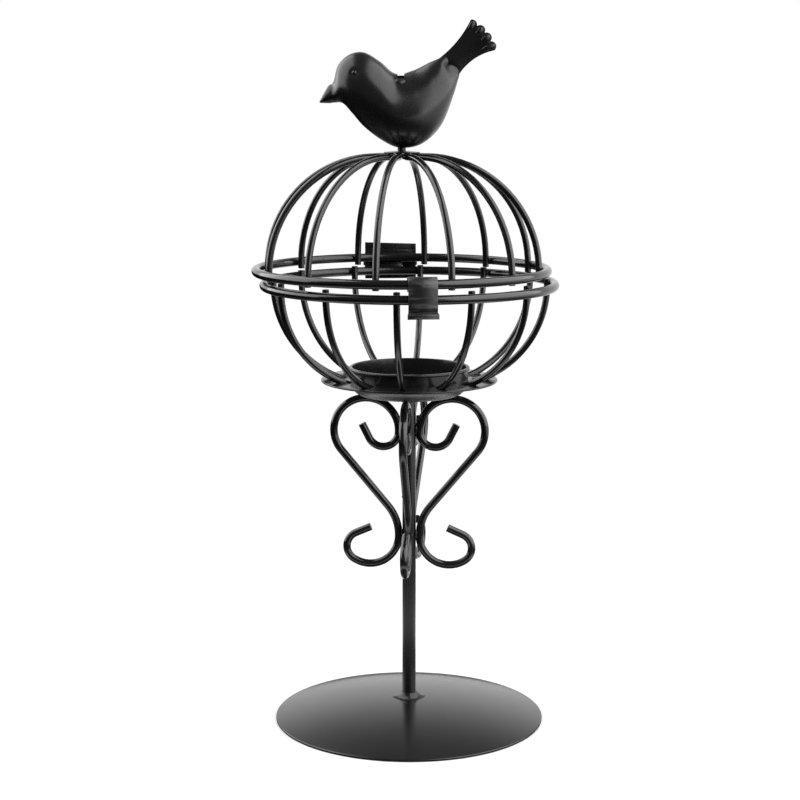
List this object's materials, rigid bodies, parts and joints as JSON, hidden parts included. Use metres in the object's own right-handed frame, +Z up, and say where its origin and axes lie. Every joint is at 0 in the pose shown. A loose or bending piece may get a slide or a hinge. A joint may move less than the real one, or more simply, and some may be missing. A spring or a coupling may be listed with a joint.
{
  "type": "bird cage candle lantern on stand",
  "caption": "Wire bird-cage tealight lantern on a scrolled post and domed foot; its domed lid, topped by a bird, hinges back and latches over the candle cup.",
  "frame": {"origin": "centre of the foot's rim, on the table it stands on", "axes": "+Z up along the post, -Y to the latch at the front, +Y to the lid hinge at the back, +X to the viewer's right"},
  "size_m": [0.1114, 0.1148, 0.2576],
  "materials": {
    "black_paint": "satin",
    "zinc_steel": "satin"
  },
  "bodies": {
    "stand": {"base_plate": "black_paint", "foot_collar": "black_paint", "base_washer": "zinc_steel", "base_screw": "zinc_steel", "post": "black_paint", "scroll_front": "black_paint", "scroll_right": "black_paint", "scroll_back": "black_paint", "scroll_left": "black_paint", "candle_cup": "black_paint", "drip_plate": "black_paint", "lower_hoop": "black_paint", "bowl_rib_01": "black_paint", "bowl_rib_02": "black_paint", "bowl_rib_03": "black_paint", "bowl_rib_04": "black_paint", "bowl_rib_05": "black_paint", "bowl_rib_06": "black_paint", "bowl_rib_07": "black_paint", "bowl_rib_08": "black_paint", "bowl_rib_09": "black_paint", "bowl_rib_10": "black_paint", "bowl_rib_11": "black_paint", "bowl_rib_12": "black_paint", "hinge_lower_leaf": "black_paint", "hinge_pin": "black_paint"},
    "lid": {"upper_hoop": "black_paint", "dome_rib_01": "black_paint", "dome_rib_02": "black_paint", "dome_rib_03": "black_paint", "dome_rib_04": "black_paint", "dome_rib_05": "black_paint", "dome_rib_06": "black_paint", "dome_rib_07": "black_paint", "dome_rib_08": "black_paint", "dome_rib_09": "black_paint", "dome_rib_10": "black_paint", "dome_rib_11": "black_paint", "dome_rib_12": "black_paint", "crown_washer": "black_paint", "bird_stem": "black_paint", "bird_left_half": "black_paint", "bird_right_half": "black_paint", "bird_tail": "black_paint", "bird_eyes": "black_paint", "hinge_upper_leaf": "black_paint"},
    "latch": {"latch_tab": "black_paint"}
  },
  "joints": [
    {"name": "lid_hinge", "type": "hinge", "parent": "stand", "child": "lid", "pos_m": [-0.0014, 0.05595, 0.1659], "axis": [-1, 0, 0], "range_deg": [0, 105]},
    {"name": "latch_swing", "type": "hinge", "parent": "lid", "child": "latch", "pos_m": [-0.0014, -0.05248, 0.1685], "axis": [-1, 0, 0], "range_deg": [0, 75]}
  ]
}
